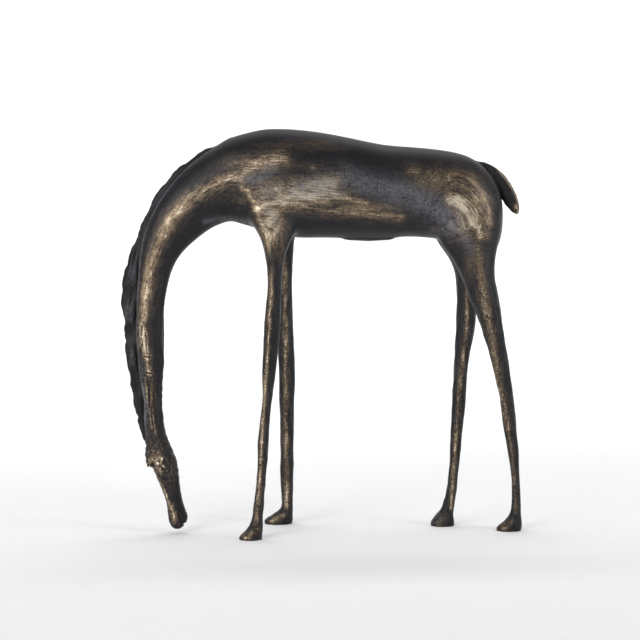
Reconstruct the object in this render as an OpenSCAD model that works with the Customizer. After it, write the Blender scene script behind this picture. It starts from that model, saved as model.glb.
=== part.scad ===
// Grazing horse statuette, cast in bronze sections that are joined with spigots, dowels and cross pins.
// Frame: +Z up, head towards -X, near side towards -Y, origin on the shelf under the middle of the piece.

/* [Overall] */
// Height from the soles to the highest point of the withers
statuette_h = 356; // [300:1:420]
// Distance between the middles of the two fore hooves, across the horse
fore_spread = 72; // [66:1:80]
// Distance between the middles of the two hind hooves, across the horse
hind_spread = 28; // [24:1:36]

/* [Castings] */
// Wall of the hollow barrel casting
barrel_wall = 4; // [3:0.5:5]
// Wall of the hollow neck casting
neck_wall = 3.5; // [3:0.5:4]
// Half width of the barrel across the ribs
barrel_half_w = 30; // [28:1:32]

/* [Joints] */
// Height of the plane where the fore legs meet the shoulders
fore_joint_z = 238; // [236:1:240]
// Height of the plane where the hind legs meet the haunches
hind_joint_z = 222; // [220:1:224]
// Height of the dressed seam where the head casting meets the neck
head_joint_z = 140; // [138:1:144]
// Diameter of the spigot on top of each fore leg
fore_spigot_d = 8; // [7:0.5:9]
// Diameter of the spigot on top of each hind leg
hind_spigot_d = 10; // [9:0.5:11]
// Diameter of the cross pins in the leg joints
leg_pin_d = 3; // [2.5:0.5:4]
// Diameter of the dowel between the neck and the head
head_dowel_d = 8; // [7:0.5:9]
// Braze gap left round each spigot, dowel and plug, on the radius
braze_gap = 0.1; // [0.05:0.05:0.2]

/* [Smoothness] */
// Sides of a cross section of the barrel and neck
body_sides = 28; // [20:4:32]
// Sides of a cross section of a leg, the mane and the tail
leg_sides = 18; // [14:2:22]

/* [Hidden] */
$fn = 32;

design_h = 356;
middle_x = 2;
k = statuette_h / design_h;
patina = "#3a3531";
rubbed = "#8a7450";
braze = "#a3875a";

// Legs lean outwards or inwards between the limb root and the hoof.
fore_root_y = 20;
hind_root_y = 18;
leg_top_z = 262;

// The upright plane where the neck meets the barrel, and the middle of that section
neck_joint_x = -78;
neck_joint_z = 311.8;

// Stations are [x, z, tilt, half height, half width]. Tilt is the angle of the section's long
// axis from +X in the XZ plane: 90 stands upright across the barrel, 180 lies flat across the
// hanging neck, and 0 lies flat across a leg that is followed upwards.
barrel_stations = [
    [161.8, 277, 90, 8, 4],
    [160, 278, 90, 20, 12],
    [155.5, 279, 90, 31, 19],
    [147, 282, 90, 39.5, 24],
    [130, 289.5, 90, 43, 28],
    [108, 297.5, 90, 40, 29],
    [82, 300.5, 90, 39.6, 29],
    [56, 301, 90, 41.2, barrel_half_w],
    [28, 303.8, 90, 44, barrel_half_w],
    [0, 306.6, 90, 46.4, barrel_half_w],
    [-28, 308.2, 90, 47.6, 29],
    [-52, 311, 90, 44.2, 26],
    [neck_joint_x, neck_joint_z, 90, 36.6, 22]
];
neck_stations = [
    [neck_joint_x, neck_joint_z, 90, 36.6, 22],
    [-97, 302, 101, 31.5, 19.5],
    [-112.6, 290, 112, 28, 17],
    [-125.4, 276.4, 122, 24.5, 15],
    [-134, 264.6, 131, 21.5, 13.5],
    [-140.6, 251.2, 140, 18.6, 12],
    [-145, 235.8, 149, 16, 11],
    [-147.6, 218.8, 158, 14, 10],
    [-149.4, 202, 169, 12.8, 9.5],
    [-150.1, 184, 177, 12.8, 9.2],
    [-149.6, 166, 180, 12.2, 9],
    [-149.2, 150, 180, 11.7, 8.6],
    [-149, head_joint_z, 180, 11, 8.3]
];
head_stations = [
    [-149, head_joint_z, 180, 11, 8.3],
    [-148.8, 131, 180, 10, 8],
    [-147.9, 117, 180, 8.8, 7.5],
    [-147.5, 103, 180, 8.9, 7.5],
    [-145.6, 88, 180, 9.7, 8],
    [-142.4, 76, 180, 11.2, 9.2],
    [-138.6, 65, 180, 11.6, 9.8],
    [-136, 55, 180, 10.9, 9.4],
    [-133.8, 46, 180, 9.4, 8],
    [-131.2, 36, 180, 8, 6.6],
    [-128.8, 27, 180, 7.4, 6],
    [-126.6, 17, 180, 8.4, 6.4],
    [-126.2, 10, 180, 7.8, 6.2],
    [-126.8, 5, 180, 4.8, 4.6],
    [-127.1, 3.4, 180, 2, 2]
];
mane_stations = [
    [-80, 348.2, 102, 1.4, 1.2],
    [-96, 338.6, 116, 3.4, 2.6],
    [-114, 325, 127, 4.8, 3.4],
    [-130.8, 307.6, 135, 5.2, 3.6],
    [-143.6, 287, 143, 5.2, 3.6],
    [-151.8, 268.4, 153, 5.4, 3.6],
    [-159, 245.6, 160, 7.4, 3.6],
    [-162.6, 229, 166, 9, 3.5],
    [-165, 206, 176, 9.5, 3.4],
    [-164, 187, 180, 7.6, 3.3],
    [-163.6, 166, 182, 7.8, 3.2],
    [-162, 150, 184, 7, 3.1],
    [-159.8, 127, 184, 6, 3],
    [-157.4, 108, 184, 4.8, 2.6],
    [-154.8, 92, 184, 3.8, 2.2],
    [-152.8, 78, 184, 1.8, 1.2]
];
tail_stations = [
    [138, 328, 238, 1.8, 3],
    [150, 320.8, 229, 4, 4],
    [157.2, 313.6, 220, 5.8, 4.5],
    [162.6, 306, 205, 6.6, 4.6],
    [167, 298, 195, 6.8, 4.4],
    [170.6, 290.4, 198, 6, 3.8],
    [174.2, 284.4, 215, 3.6, 2.8],
    [176, 281, 225, 0.8, 1]
];

// Leg stations are [x, z, half length, half width], from the sole upwards.
foreleg_near_stations = [
    [-63.5, 0, 10.2, 8.2],
    [-63.4, 2.4, 10, 8],
    [-61.2, 6.6, 8.2, 6.8],
    [-58.6, 12, 5.9, 5.6],
    [-57.2, 20, 4.6, 4.8],
    [-56.5, 27, 4.8, 4.9],
    [-55.1, 42, 4.2, 4.2],
    [-53.3, 58, 4.3, 4.2],
    [-52.5, 78, 4.9, 4.6],
    [-51.6, 92, 4.7, 4.5],
    [-50, 108, 4.2, 4.2],
    [-48.1, 126, 4.8, 4.6],
    [-46.7, 146, 6, 5.4],
    [-45, 166, 6.8, 6],
    [-43.6, 184, 7.1, 6.4],
    [-42.6, 200, 6.8, 6.5],
    [-41.7, 215, 6.4, 6.5],
    [-41.2, 228, 6.7, 6.7],
    [-41, fore_joint_z, 7.5, 7.2]
];
foreleg_off_stations = [
    [-34.8, 0, 12.4, 8.4],
    [-34.6, 3.4, 13, 8.2],
    [-31.2, 8.4, 9.4, 7],
    [-27.2, 14, 5.4, 5.4],
    [-27.1, 24, 5.3, 5],
    [-27.4, 36, 5.9, 5.2],
    [-27.2, 54, 6.2, 5.4],
    [-27.3, 75, 6.2, 5.4],
    [-27.3, 97, 6.3, 5.5],
    [-27.7, 114, 6.8, 5.8],
    [-27.4, 130, 7.2, 6.1],
    [-27.9, 148, 7.5, 6.4],
    [-28.4, 168, 7.2, 6.5],
    [-28.8, 195, 6.2, 6.4],
    [-28.9, 215, 6, 6.5],
    [-28.8, fore_joint_z, 6.6, 7]
];
hindleg_near_stations = [
    [167.4, 0, 11, 8.4],
    [168, 3.4, 11.2, 8.2],
    [171.6, 9, 7.6, 6.6],
    [173.2, 15, 5.3, 5.2],
    [173.9, 21, 4.4, 4.6],
    [173.9, 30, 3.9, 4.2],
    [173.3, 42, 3.7, 4],
    [172.6, 53, 3.9, 4.1],
    [171, 69, 4.9, 4.6],
    [168.6, 85, 5.5, 5],
    [166.5, 101, 6.2, 5.4],
    [164.3, 118, 6.2, 5.6],
    [161.6, 133, 6.9, 5.9],
    [157.8, 152, 7.9, 6.6],
    [153.4, 170, 9, 7.4],
    [150, 184, 10.2, 8.4],
    [146.6, 197, 11.7, 9.4],
    [142.4, 211, 13.4, 10.6],
    [139, hind_joint_z, 14.4, 11.4]
];
hindleg_off_stations = [
    [112, 0, 10.8, 8.4],
    [112.2, 4, 10.6, 8.2],
    [114, 10, 7.9, 6.8],
    [116.6, 16, 5.9, 5.6],
    [118.2, 22, 5.3, 5],
    [119.6, 28, 4.9, 4.8],
    [120.9, 38, 4.6, 4.5],
    [122.4, 54, 4.5, 4.5],
    [123.7, 70, 5, 4.8],
    [125, 92, 5.6, 5.2],
    [126.6, 113, 6.3, 5.6],
    [127.6, 135, 6.4, 5.9],
    [129, 152, 6.9, 6.4],
    [131, 168, 8.2, 7.2],
    [132.6, 184, 9, 8],
    [133.2, 203, 8.8, 9],
    [133.2, hind_joint_z, 9.8, 10.6]
];

// Limb roots are [x, z, half length, half width, distance from the middle plane], upwards
// from the joint plane into the barrel.
foreroot_near_stations = [
    [-41, fore_joint_z, 7.5, 7.2, 21.5],
    [-40.5, 248, 9.6, 8.4, 20.4],
    [-40, 257, 13, 9.8, 18.6],
    [-40, 268, 19, 11.6, 16.4],
    [-42, 284, 24, 13.4, 14],
    [-46, 304, 22, 12, 13],
    [-48, 322, 12, 7, 13]
];
foreroot_off_stations = [
    [-28.8, fore_joint_z, 6.6, 7, 21.5],
    [-29.6, 248, 8, 8.4, 20.4],
    [-32.6, 257, 11.4, 9.8, 18.6],
    [-36, 268, 18, 11.6, 16.4],
    [-42, 284, 24, 13.4, 14],
    [-46, 304, 22, 12, 13],
    [-48, 322, 12, 7, 13]
];
hindroot_near_stations = [
    [139, hind_joint_z, 14.4, 11.4, 17.4],
    [136.6, 231, 16.2, 12.4, 16.8],
    [134, 242, 19.6, 13.2, 15.8],
    [130.8, 254, 25.4, 14, 14.6],
    [129.6, 268, 29.5, 15.4, 13.4],
    [129, 284, 28, 15.6, 12.6],
    [126, 304, 20, 11, 12]
];
hindroot_off_stations = [
    [133.2, hind_joint_z, 9.8, 10.6, 17.4],
    [133.2, 231, 11.8, 12, 16.8],
    [132.6, 242, 16.4, 13.2, 15.8],
    [131, 254, 24, 14, 14.6],
    [129.6, 268, 29.5, 15.4, 13.4],
    [129, 284, 28, 15.6, 12.6],
    [126, 304, 20, 11, 12]
];

fore_spigot_len = 17;
hind_spigot_len = 20;

// The collar's middle lies in the neck joint. Its pins stop a skin's thickness short of the
// outside, and their places are [distance from the joint, middle, half height, half width].
collar_len = 22;
collar_t = 3;
collar_pin_d = 3;
collar_pin_len = 6.6;
pin_skin = 1.2;
collar_pin_places = [[6, 311.8, 37.4, 22.8], [-6, 308.6, 33.6, 21]];

// The head dowel stands on the middle of the dressed seam.
dowel_x = -149;
dowel_above = 18;
dowel_below = 16;
dowel_pin_d = 2.5;
dowel_pin_places = [[9, 15.6], [-8, 14.6]];

barrel_cavity_rear = 2;
neck_cavity_last = 9;
mane_pin_d = 2;
mane_pin_len = 9;

// The stud runs level from the thick end of the rump into the tail.
tail_stud_d = 4;
tail_stud_len = 18;
tail_stud_x = 148;
tail_stud_z = 304;

plate_len = 46;
plate_w = 13;
plate_top_z = 264;
plate_bottom_z = 258.8;
plate_x = 43;
plug_d = 5;
plug_reach = 80;

// Catmull-Rom value between b and c, for numbers or lists of numbers
function spline(a, b, c, d, t) =
    0.5 * (2 * b + (c - a) * t + (2 * a - 5 * b + 4 * c - d) * t * t + (3 * b - a - 3 * c + d) * t * t * t);

// A list of stations with steps - 1 more between each pair
function dense(rows, steps) = let (last = len(rows) - 1) [
    for (i = [0:last - 1], j = [0:steps - 1])
        spline(rows[max(i - 1, 0)], rows[i], rows[i + 1], rows[min(i + 2, last)], j / steps),
    rows[last]
];

// One closed section: row is [x, z, tilt, half height, half width, y]
function section(row, sides) = [
    for (j = [0:sides - 1]) let (a = 360 * j / sides, h = row[3] * cos(a))
        [row[0] + h * cos(row[2]), row[5] + row[4] * sin(a), row[1] + h * sin(row[2])]
];

// Body stations lie on the middle plane.
function body_rows(stations) = [for (s = stations) concat(s, [0])];

// A hollow's stations are the outside ones less the wall.
function inner_rows(stations, wall) = [
    for (s = stations) [s[0], s[1], s[2], max(s[3] - wall, 1), max(s[4] - wall, 1), 0]
];

// Leg stations lean from the root to the hoof on the side given by side (-1 near, +1 off).
function leg_rows(stations, side, root_y, hoof_y) = [
    for (s = stations)
        [s[0], s[1], 0, s[2], s[3], side * (hoof_y + (root_y - hoof_y) * s[1] / leg_top_z)]
];
function root_rows(stations, side, top_shift) = [
    for (s = stations) [s[0], s[1], 0, s[2], s[3], side * (s[4] + top_shift)]
];

// A closed solid through a list of sections
module loft(rows, sides) {
    last = len(rows) - 1;
    points = [for (r = rows) each section(r, sides)];
    walls = [
        for (i = [0:last - 1], j = [0:sides - 1]) let (n = (j + 1) % sides)
            [i * sides + j, (i + 1) * sides + j, (i + 1) * sides + n, i * sides + n]
    ];
    first_cap = [for (j = [0:sides - 1]) j];
    last_cap = [for (j = [sides - 1:-1:0]) last * sides + j];
    polyhedron(points, concat(walls, [first_cap, last_cap]), convexity = 6);
}

// The y of a leg's middle at a height
function leg_y(root_y, hoof_y, z) = hoof_y + (root_y - hoof_y) * z / leg_top_z;
fore_joint_y = leg_y(fore_root_y, fore_spread / 2, fore_joint_z);
hind_joint_y = leg_y(hind_root_y, hind_spread / 2, hind_joint_z);

// Middles of the four leg joints: [x, y]
near_fore_at = [-41, -fore_joint_y];
off_fore_at = [-28.8, fore_joint_y];
near_hind_at = [139, -hind_joint_y];
off_hind_at = [133.2, hind_joint_y];

// Every piece is drawn about the neck and legs, then moved to stand centred over the origin.
module sized(shade) color(shade) scale(k) translate([-middle_x, 0, 0]) children();

module bar_y(at, z, d, length) {
    translate([at[0], at[1] - length / 2, z]) rotate([-90, 0, 0]) cylinder(d = d, h = length);
}

module barrel_outside() {
    loft(dense(body_rows(barrel_stations), 2), body_sides);
    roots_outside();
}

module roots_outside() {
    fore_shift = fore_joint_y - foreroot_near_stations[0][4];
    hind_shift = hind_joint_y - hindroot_near_stations[0][4];
    loft(dense(root_rows(foreroot_near_stations, -1, fore_shift), 2), leg_sides);
    loft(dense(root_rows(foreroot_off_stations, 1, fore_shift), 2), leg_sides);
    loft(dense(root_rows(hindroot_near_stations, -1, hind_shift), 2), leg_sides);
    loft(dense(root_rows(hindroot_off_stations, 1, hind_shift), 2), leg_sides);
}

module barrel_cavity() {
    rows = [for (i = [barrel_cavity_rear:len(barrel_stations) - 1]) barrel_stations[i]];
    front = [[neck_joint_x - 1, neck_joint_z, 90, 36.6, 22]];
    loft(dense(inner_rows(concat(rows, front), barrel_wall), 1), body_sides);
}

module fore_socket(at) {
    translate([at[0], at[1], fore_joint_z - 1])
        cylinder(d = fore_spigot_d + 2 * braze_gap, h = fore_spigot_len + 1 + braze_gap);
}

module hind_socket(at) {
    translate([at[0], at[1], hind_joint_z - 1])
        cylinder(d = hind_spigot_d + 2 * braze_gap, h = hind_spigot_len + 1 + braze_gap);
}

fore_pin_z = fore_joint_z + 7;
hind_pin_z = hind_joint_z + 9;
fore_pin_len = 13;
hind_pin_len = 19;

module fore_pin_shapes(grow) {
    for (at = [near_fore_at, off_fore_at]) bar_y(at, fore_pin_z, leg_pin_d + 2 * grow, fore_pin_len + 2 * grow);
}

module hind_pin_shapes(grow) {
    for (at = [near_hind_at, off_hind_at]) bar_y(at, hind_pin_z, leg_pin_d + 2 * grow, hind_pin_len + 2 * grow);
}

// The obround core hole under the belly, closed by a brazed plate
module plate_shape(grow, bottom, top) {
    straight = plate_len - plate_w;
    translate([plate_x, 0, bottom]) linear_extrude(top - bottom) {
        for (side = [-1, 1]) translate([side * straight / 2, 0]) circle(d = plate_w + 2 * grow);
        square([straight, plate_w + 2 * grow], center = true);
    }
}

// Plugs that close the holes of the core pins, through the ribs and the haunch: [x, z]
plug_places = [[-8, 322], [50, 306], [97, 286]];

module plug_shapes(grow) {
    for (p = plug_places) bar_y([p[0], 0], p[1], plug_d + 2 * grow, plug_reach);
}

// Pins of the neck collar, one pair upright and one pair across in each casting
module collar_pin_shapes(grow) {
    inset = pin_skin + collar_pin_len / 2;
    for (p = collar_pin_places, side = [-1, 1]) {
        x = neck_joint_x + p[0];
        translate([x, 0, p[1] + side * (p[2] - inset)])
            cylinder(d = collar_pin_d + 2 * grow, h = collar_pin_len + 2 * grow, center = true);
        bar_y([x, side * (p[3] - inset)], p[1], collar_pin_d + 2 * grow, collar_pin_len + 2 * grow);
    }
}

module barrel_casting() {
    sized(patina) difference() {
        barrel_outside();
        barrel_cavity();
        for (at = [near_fore_at, off_fore_at]) fore_socket(at);
        for (at = [near_hind_at, off_hind_at]) hind_socket(at);
        fore_pin_shapes(braze_gap);
        hind_pin_shapes(braze_gap);
        plate_shape(braze_gap, plate_bottom_z - 10, plate_top_z + 10);
        plug_shapes(braze_gap);
        tail_stud_shape(braze_gap);
        collar_pin_shapes(braze_gap);
    }
}

module neck_outside() {
    loft(dense(body_rows(neck_stations), 2), body_sides);
}

module neck_cavity() {
    rows = [for (i = [0:neck_cavity_last]) neck_stations[i]];
    front = [[neck_joint_x + 1, neck_joint_z, 90, 36.8, 22.2]];
    loft(dense(inner_rows(concat(front, rows), neck_wall), 1), body_sides);
}

module head_dowel_shape(grow) {
    translate([dowel_x, 0, head_joint_z - dowel_below - grow])
        cylinder(d = head_dowel_d + 2 * grow, h = dowel_above + dowel_below + 2 * grow);
}

module dowel_pin_shapes(grow) {
    for (p = dowel_pin_places)
        bar_y([dowel_x, 0], head_joint_z + p[0], dowel_pin_d + 2 * grow, p[1] + 2 * grow);
}

// Pins through the crest into the root of the mane: [x of the inner end, z]
mane_pin_places = [[-154, 228], [-156, 190], [-155.4, 156]];

module mane_pin_shapes(grow) {
    for (p = mane_pin_places)
        translate([p[0] + grow, 0, p[1]]) rotate([0, -90, 0])
            cylinder(d = mane_pin_d + 2 * grow, h = mane_pin_len + 2 * grow);
}

module neck_casting() {
    sized(patina) difference() {
        neck_outside();
        neck_cavity();
        head_dowel_shape(braze_gap);
        dowel_pin_shapes(braze_gap);
        mane_pin_shapes(braze_gap);
        collar_pin_shapes(braze_gap);
    }
}

// An ear laid along the cheek and pointing down
module ear(side) {
    rows = [
        [-149, 84, 180, 1.5, 1.5, side * 4.6],
        [-150.4, 78, 180, 3.4, 2.4, side * 5.6],
        [-150.6, 70, 180, 4, 2.5, side * 6],
        [-150.8, 63.5, 180, 3, 2, side * 5.8],
        [-152.2, 59.4, 180, 0.7, 0.7, side * 5.4]
    ];
    loft(dense(rows, 2), 10);
}

module head_casting() {
    sized(patina) difference() {
        union() {
            loft(dense(body_rows(head_stations), 2), leg_sides);
            for (side = [-1, 1]) ear(side);
        }
        head_dowel_shape(braze_gap);
        dowel_pin_shapes(braze_gap);
    }
}

module mane_strip() {
    sized(patina) difference() {
        loft(dense(body_rows(mane_stations), 2), leg_sides);
        neck_outside();
        loft(dense(body_rows(head_stations), 2), leg_sides);
        loft(dense(body_rows(barrel_stations), 2), body_sides);
        mane_pin_shapes(braze_gap);
    }
}

module tail_stud_shape(grow) {
    translate([tail_stud_x - grow, 0, tail_stud_z]) rotate([0, 90, 0])
        cylinder(d = tail_stud_d + 2 * grow, h = tail_stud_len + 2 * grow);
}

module tail_blade() {
    sized(patina) difference() {
        loft(dense(body_rows(tail_stations), 2), leg_sides);
        loft(dense(body_rows(barrel_stations), 2), body_sides);
        tail_stud_shape(braze_gap);
    }
}

// A leg: the lofted limb with its spigot on top, drilled for the cross pin
module foreleg(stations, side, at) {
    sized(patina) difference() {
        union() {
            loft(dense(leg_rows(stations, side, fore_root_y, fore_spread / 2), 2), leg_sides);
            translate([at[0], at[1], fore_joint_z - 1]) cylinder(d = fore_spigot_d, h = fore_spigot_len + 1);
        }
        fore_pin_shapes(braze_gap);
    }
}

module hindleg(stations, side, at) {
    sized(patina) difference() {
        union() {
            loft(dense(leg_rows(stations, side, hind_root_y, hind_spread / 2), 2), leg_sides);
            translate([at[0], at[1], hind_joint_z - 1]) cylinder(d = hind_spigot_d, h = hind_spigot_len + 1);
        }
        hind_pin_shapes(braze_gap);
    }
}

module foreleg_near() foreleg(foreleg_near_stations, -1, near_fore_at);
module foreleg_off() foreleg(foreleg_off_stations, 1, off_fore_at);
module hindleg_near() hindleg(hindleg_near_stations, -1, near_hind_at);
module hindleg_off() hindleg(hindleg_off_stations, 1, off_hind_at);

// The collar that both castings slide onto at the base of the neck
module neck_collar() {
    outer = [
        [neck_joint_x + collar_len / 2, neck_joint_z, 90, 33.3, 18.6, 0],
        [neck_joint_x, neck_joint_z, 90, 32.2, 17.9, 0],
        [neck_joint_x - collar_len / 2, 306.6, 90, 28.8, 16.6, 0]
    ];
    inner = [for (r = outer) [r[0], r[1], r[2], r[3] - collar_t, r[4] - collar_t, 0]];
    first = inner[0];
    end = inner[2];
    before = [first[0] + 1, first[1], 90, first[3], first[4], 0];
    after = [end[0] - 1, end[1], 90, end[3], end[4], 0];
    sized(rubbed) difference() {
        loft(outer, body_sides);
        loft(concat([before], inner, [after]), body_sides);
        collar_pin_shapes(braze_gap);
    }
}

module neck_collar_pins() {
    sized(rubbed) collar_pin_shapes(0);
}

module head_dowel() {
    sized(rubbed) difference() {
        head_dowel_shape(0);
        dowel_pin_shapes(braze_gap);
    }
}

module head_dowel_pins() {
    sized(rubbed) dowel_pin_shapes(0);
}

module foreleg_pins() {
    sized(rubbed) fore_pin_shapes(0);
}

module hindleg_pins() {
    sized(rubbed) hind_pin_shapes(0);
}

module mane_pins() {
    sized(rubbed) mane_pin_shapes(0);
}

module tail_stud() {
    sized(rubbed) tail_stud_shape(0);
}

module belly_core_plate() {
    sized(patina) plate_shape(0, plate_bottom_z, plate_top_z);
}

// The plugs are dressed flush with the casting, inside and out.
module core_pin_plugs() {
    sized(braze) intersection() {
        plug_shapes(0);
        difference() {
            loft(dense(body_rows(barrel_stations), 2), body_sides);
            barrel_cavity();
        }
    }
}

barrel_casting();
neck_casting();
head_casting();
mane_strip();
tail_blade();
foreleg_near();
foreleg_off();
hindleg_near();
hindleg_off();
neck_collar();
neck_collar_pins();
head_dowel();
head_dowel_pins();
foreleg_pins();
hindleg_pins();
mane_pins();
tail_stud();
belly_core_plate();
core_pin_plugs();
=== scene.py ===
"""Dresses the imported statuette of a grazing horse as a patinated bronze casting.

The outer skins of the cast sections are joined into one, relaxed, worked over as a modeller would
with spatula and chisel, and cut again at the same joint planes, so that every section stays a piece
of its own and the chased joints run through without a step. Lengths are in millimetres where a
name ends in _mm or a comment says so, and in metres everywhere else.
"""

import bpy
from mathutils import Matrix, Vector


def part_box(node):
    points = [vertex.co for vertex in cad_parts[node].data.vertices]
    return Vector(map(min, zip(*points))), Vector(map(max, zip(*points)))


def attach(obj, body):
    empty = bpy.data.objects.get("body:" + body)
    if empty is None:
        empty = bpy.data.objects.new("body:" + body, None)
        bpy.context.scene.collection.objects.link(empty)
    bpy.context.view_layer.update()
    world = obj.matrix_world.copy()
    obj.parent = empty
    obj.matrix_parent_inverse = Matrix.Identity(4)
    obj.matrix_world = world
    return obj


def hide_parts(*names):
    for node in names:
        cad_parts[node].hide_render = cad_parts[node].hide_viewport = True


bl_info = {
    "name": "Grazing Horse Bronze",
    "version": (1, 0, 0),
    "blender": (4, 5, 0),
    "location": "View3D > Sidebar > Bronze",
    "description": "Models and patinates the cast sections of a grazing horse statuette",
    "category": "Object",
}

import math

import bmesh
import bpy
import numpy as np
from mathutils import Matrix, Vector
from mathutils.bvhtree import BVHTree

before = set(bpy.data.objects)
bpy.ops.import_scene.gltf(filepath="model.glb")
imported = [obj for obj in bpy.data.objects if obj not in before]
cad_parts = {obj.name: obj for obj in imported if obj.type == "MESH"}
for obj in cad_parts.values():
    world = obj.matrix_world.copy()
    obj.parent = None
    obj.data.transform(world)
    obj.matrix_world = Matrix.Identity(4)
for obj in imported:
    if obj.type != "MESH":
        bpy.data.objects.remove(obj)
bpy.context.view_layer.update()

MM = 0.001

# The four joint planes, in millimetres
NECK_JOINT_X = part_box("neck_casting")[1].x / MM
HEAD_JOINT_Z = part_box("head_casting")[1].z / MM
FORE_JOINT_Z = 238.0
HIND_JOINT_Z = 222.0

# Fore legs stand on one side of this X and hind legs on the other, in millimetres
MIDDLE_X = 40.0


# ---------------------------------------------------------------- colours and settings


def linear(hex_colour):
    """An sRGB hex colour as linear red, green, blue and alpha."""
    parts = [int(hex_colour[i:i + 2], 16) / 255 for i in (1, 3, 5)]
    return [c / 12.92 if c <= 0.04045 else ((c + 0.055) / 1.055) ** 2.4 for c in parts] + [1.0]


def colour_property(label, text, hex_colour):
    """A colour that shows in the sidebar."""
    return bpy.props.FloatVectorProperty(
        name=label, description=text, subtype="COLOR", size=4, min=0, max=1, default=linear(hex_colour)
    )


class ModellingSettings(bpy.types.PropertyGroup):
    """Sizes of the worked surface."""

    voxel: bpy.props.FloatProperty(
        name="Skin grain", description="Mesh spacing of the joined skin",
        default=0.95 * MM, min=0.5 * MM, max=2 * MM, unit="LENGTH",
    )
    fine_voxel: bpy.props.FloatProperty(
        name="Mane grain", description="Mesh spacing of the mane and the tail",
        default=0.5 * MM, min=0.3 * MM, max=1 * MM, unit="LENGTH",
    )
    body_passes: bpy.props.IntProperty(
        name="Body smoothing", description="Passes that blend the limb roots into the barrel",
        default=260, min=20, max=600,
    )
    limb_passes: bpy.props.IntProperty(
        name="Limb smoothing", description="Passes that round the legs and the head",
        default=12, min=2, max=60,
    )
    hammer: bpy.props.FloatProperty(
        name="Hammering", description="Depth of the lumps and facets on the legs",
        default=0.34 * MM, min=0, max=1 * MM, unit="LENGTH",
    )


class PatinaSettings(bpy.types.PropertyGroup):
    """Colours of the bronze, from the darkest hollow to the brightest rubbed metal, which is also the painted
    highlight colour, and a painted grey sheen.
    """

    hollow: colour_property("Hollow", "Patina left in the hollows", "#0c0b0e")
    skin: colour_property("Skin", "Patina on the plain skin", "#16151a")
    warm: colour_property("Warm", "Patina worn thin", "#4a423b")
    rubbed: colour_property("Rubbed", "Metal rubbed back", "#927f68")
    # The brightest stop is partly painted highlight: it colours the painted highlight on the haunch as well
    # as the metal rubbed most.
    bright: colour_property("Bright", "Metal rubbed most", "#e6d9c2")
    # The sheen colour is a painted sheen: a grey reflection laid into the patina's colour.
    sheen: colour_property("Sheen", "Patina burnished grey", "#74747a")
    raw: colour_property("Raw", "Metal of the hidden pins and dowels", "#b5935a")


class StageSettings(bpy.types.PropertyGroup):
    """Floor, lights and camera."""

    floor: colour_property("Floor", "Colour of the floor sweep", "#f4f4f4")
    azimuth: bpy.props.FloatProperty(
        name="Azimuth", description="Turn of the camera round the horse",
        default=math.radians(-4.76), subtype="ANGLE",
    )
    elevation: bpy.props.FloatProperty(
        name="Elevation", description="Height of the camera above the horizon",
        default=math.radians(5.0), subtype="ANGLE",
    )
    distance: bpy.props.FloatProperty(
        name="Distance", description="From the camera to the horse", default=1.7, unit="LENGTH",
    )
    lens: bpy.props.FloatProperty(
        name="Lens", description="Focal length in millimetres", default=108.3, min=35, max=200,
    )


SETTINGS = {
    "bronze_modelling": ModellingSettings,
    "bronze_patina": PatinaSettings,
    "bronze_stage": StageSettings,
}


# ---------------------------------------------------------------- fields over the surface, in millimetres


def step(value, low, high):
    """0 below low, 1 above high, and a smooth rise between."""
    t = np.clip((value - low) / (high - low), 0, 1)
    return t * t * (3 - 2 * t)


def grain(points, wavelength, seed, count=16):
    """A smooth random field of unit spread, from waves in seeded directions."""
    dice = np.random.default_rng(seed)
    directions = dice.normal(size=(count, 3))
    directions /= np.linalg.norm(directions, axis=1)[:, None]
    pitch = 2 * math.pi / (wavelength * dice.uniform(0.7, 1.5, count))
    phases = dice.uniform(0, 2 * math.pi, count)
    total = np.zeros(len(points))
    for direction, k, phase in zip(directions, pitch, phases):
        total += np.cos(points @ direction * k + phase)
    return total * math.sqrt(2 / count)


def along(points, path):
    """Place along a path drawn in the XZ plane, distance off it (with sign), and length of the path."""
    path = np.array(path, float)
    here = points[:, [0, 2]]
    best = np.full(len(here), 1e9)
    place = np.zeros(len(here))
    off = np.zeros(len(here))
    start = 0.0
    for a, b in zip(path[:-1], path[1:]):
        d = b - a
        length = np.linalg.norm(d)
        t = np.clip((here - a) @ d / length ** 2, 0, 1)
        foot = a + t[:, None] * d
        gap = np.linalg.norm(here - foot, axis=1)
        side = np.sign((here[:, 0] - a[0]) * d[1] - (here[:, 1] - a[1]) * d[0])
        nearer = gap < best
        best = np.where(nearer, gap, best)
        place = np.where(nearer, start + t * length, place)
        off = np.where(nearer, side * gap, off)
        start += length
    return place, off, start


def stroke(points, path, width_a, width_b=None, side=0):
    """1 on a path in the XZ plane and fading over its width, which runs from width_a to width_b."""
    place, off, length = along(points, path)
    width = width_a + ((width_b or width_a) - width_a) * place / length
    mark = np.exp(-((off / width) ** 2))
    return mark if side == 0 else mark * (np.sign(points[:, 1]) == side)


def dab(points, x, z, radius_x, radius_z=None):
    """1 at a place in the XZ plane, fading over an oval."""
    radius_z = radius_z or radius_x
    return np.exp(-(((points[:, 0] - x) / radius_x) ** 2) - ((points[:, 2] - z) / radius_z) ** 2)


# The line through the middle of the rump, barrel, neck and head, as (x, z)
SPINE = [
    (160, 278), (108, 297), (56, 301), (0, 307), (-52, 311), (-80, 310), (-99, 302), (-115, 290), (-127, 277),
    (-136, 265), (-143, 251), (-147, 236), (-150, 219), (-151, 202), (-152, 166), (-151, 140),
    (-150, 117), (-147, 88), (-140, 62), (-134, 36), (-128, 4),
]

# The mane side of the spine, as the sign that along() gives it
CREST_SIDE = 1


def regions(points):
    """How far each point belongs to the legs and to the lower neck and head, from 0 to 1."""
    x, z = points[:, 0], points[:, 2]
    legs = (x > NECK_JOINT_X) * (1 - step(z, 204, 250))
    neck = (x < NECK_JOINT_X) * (1 - step(z, 120, 235))
    return legs, neck


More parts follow.
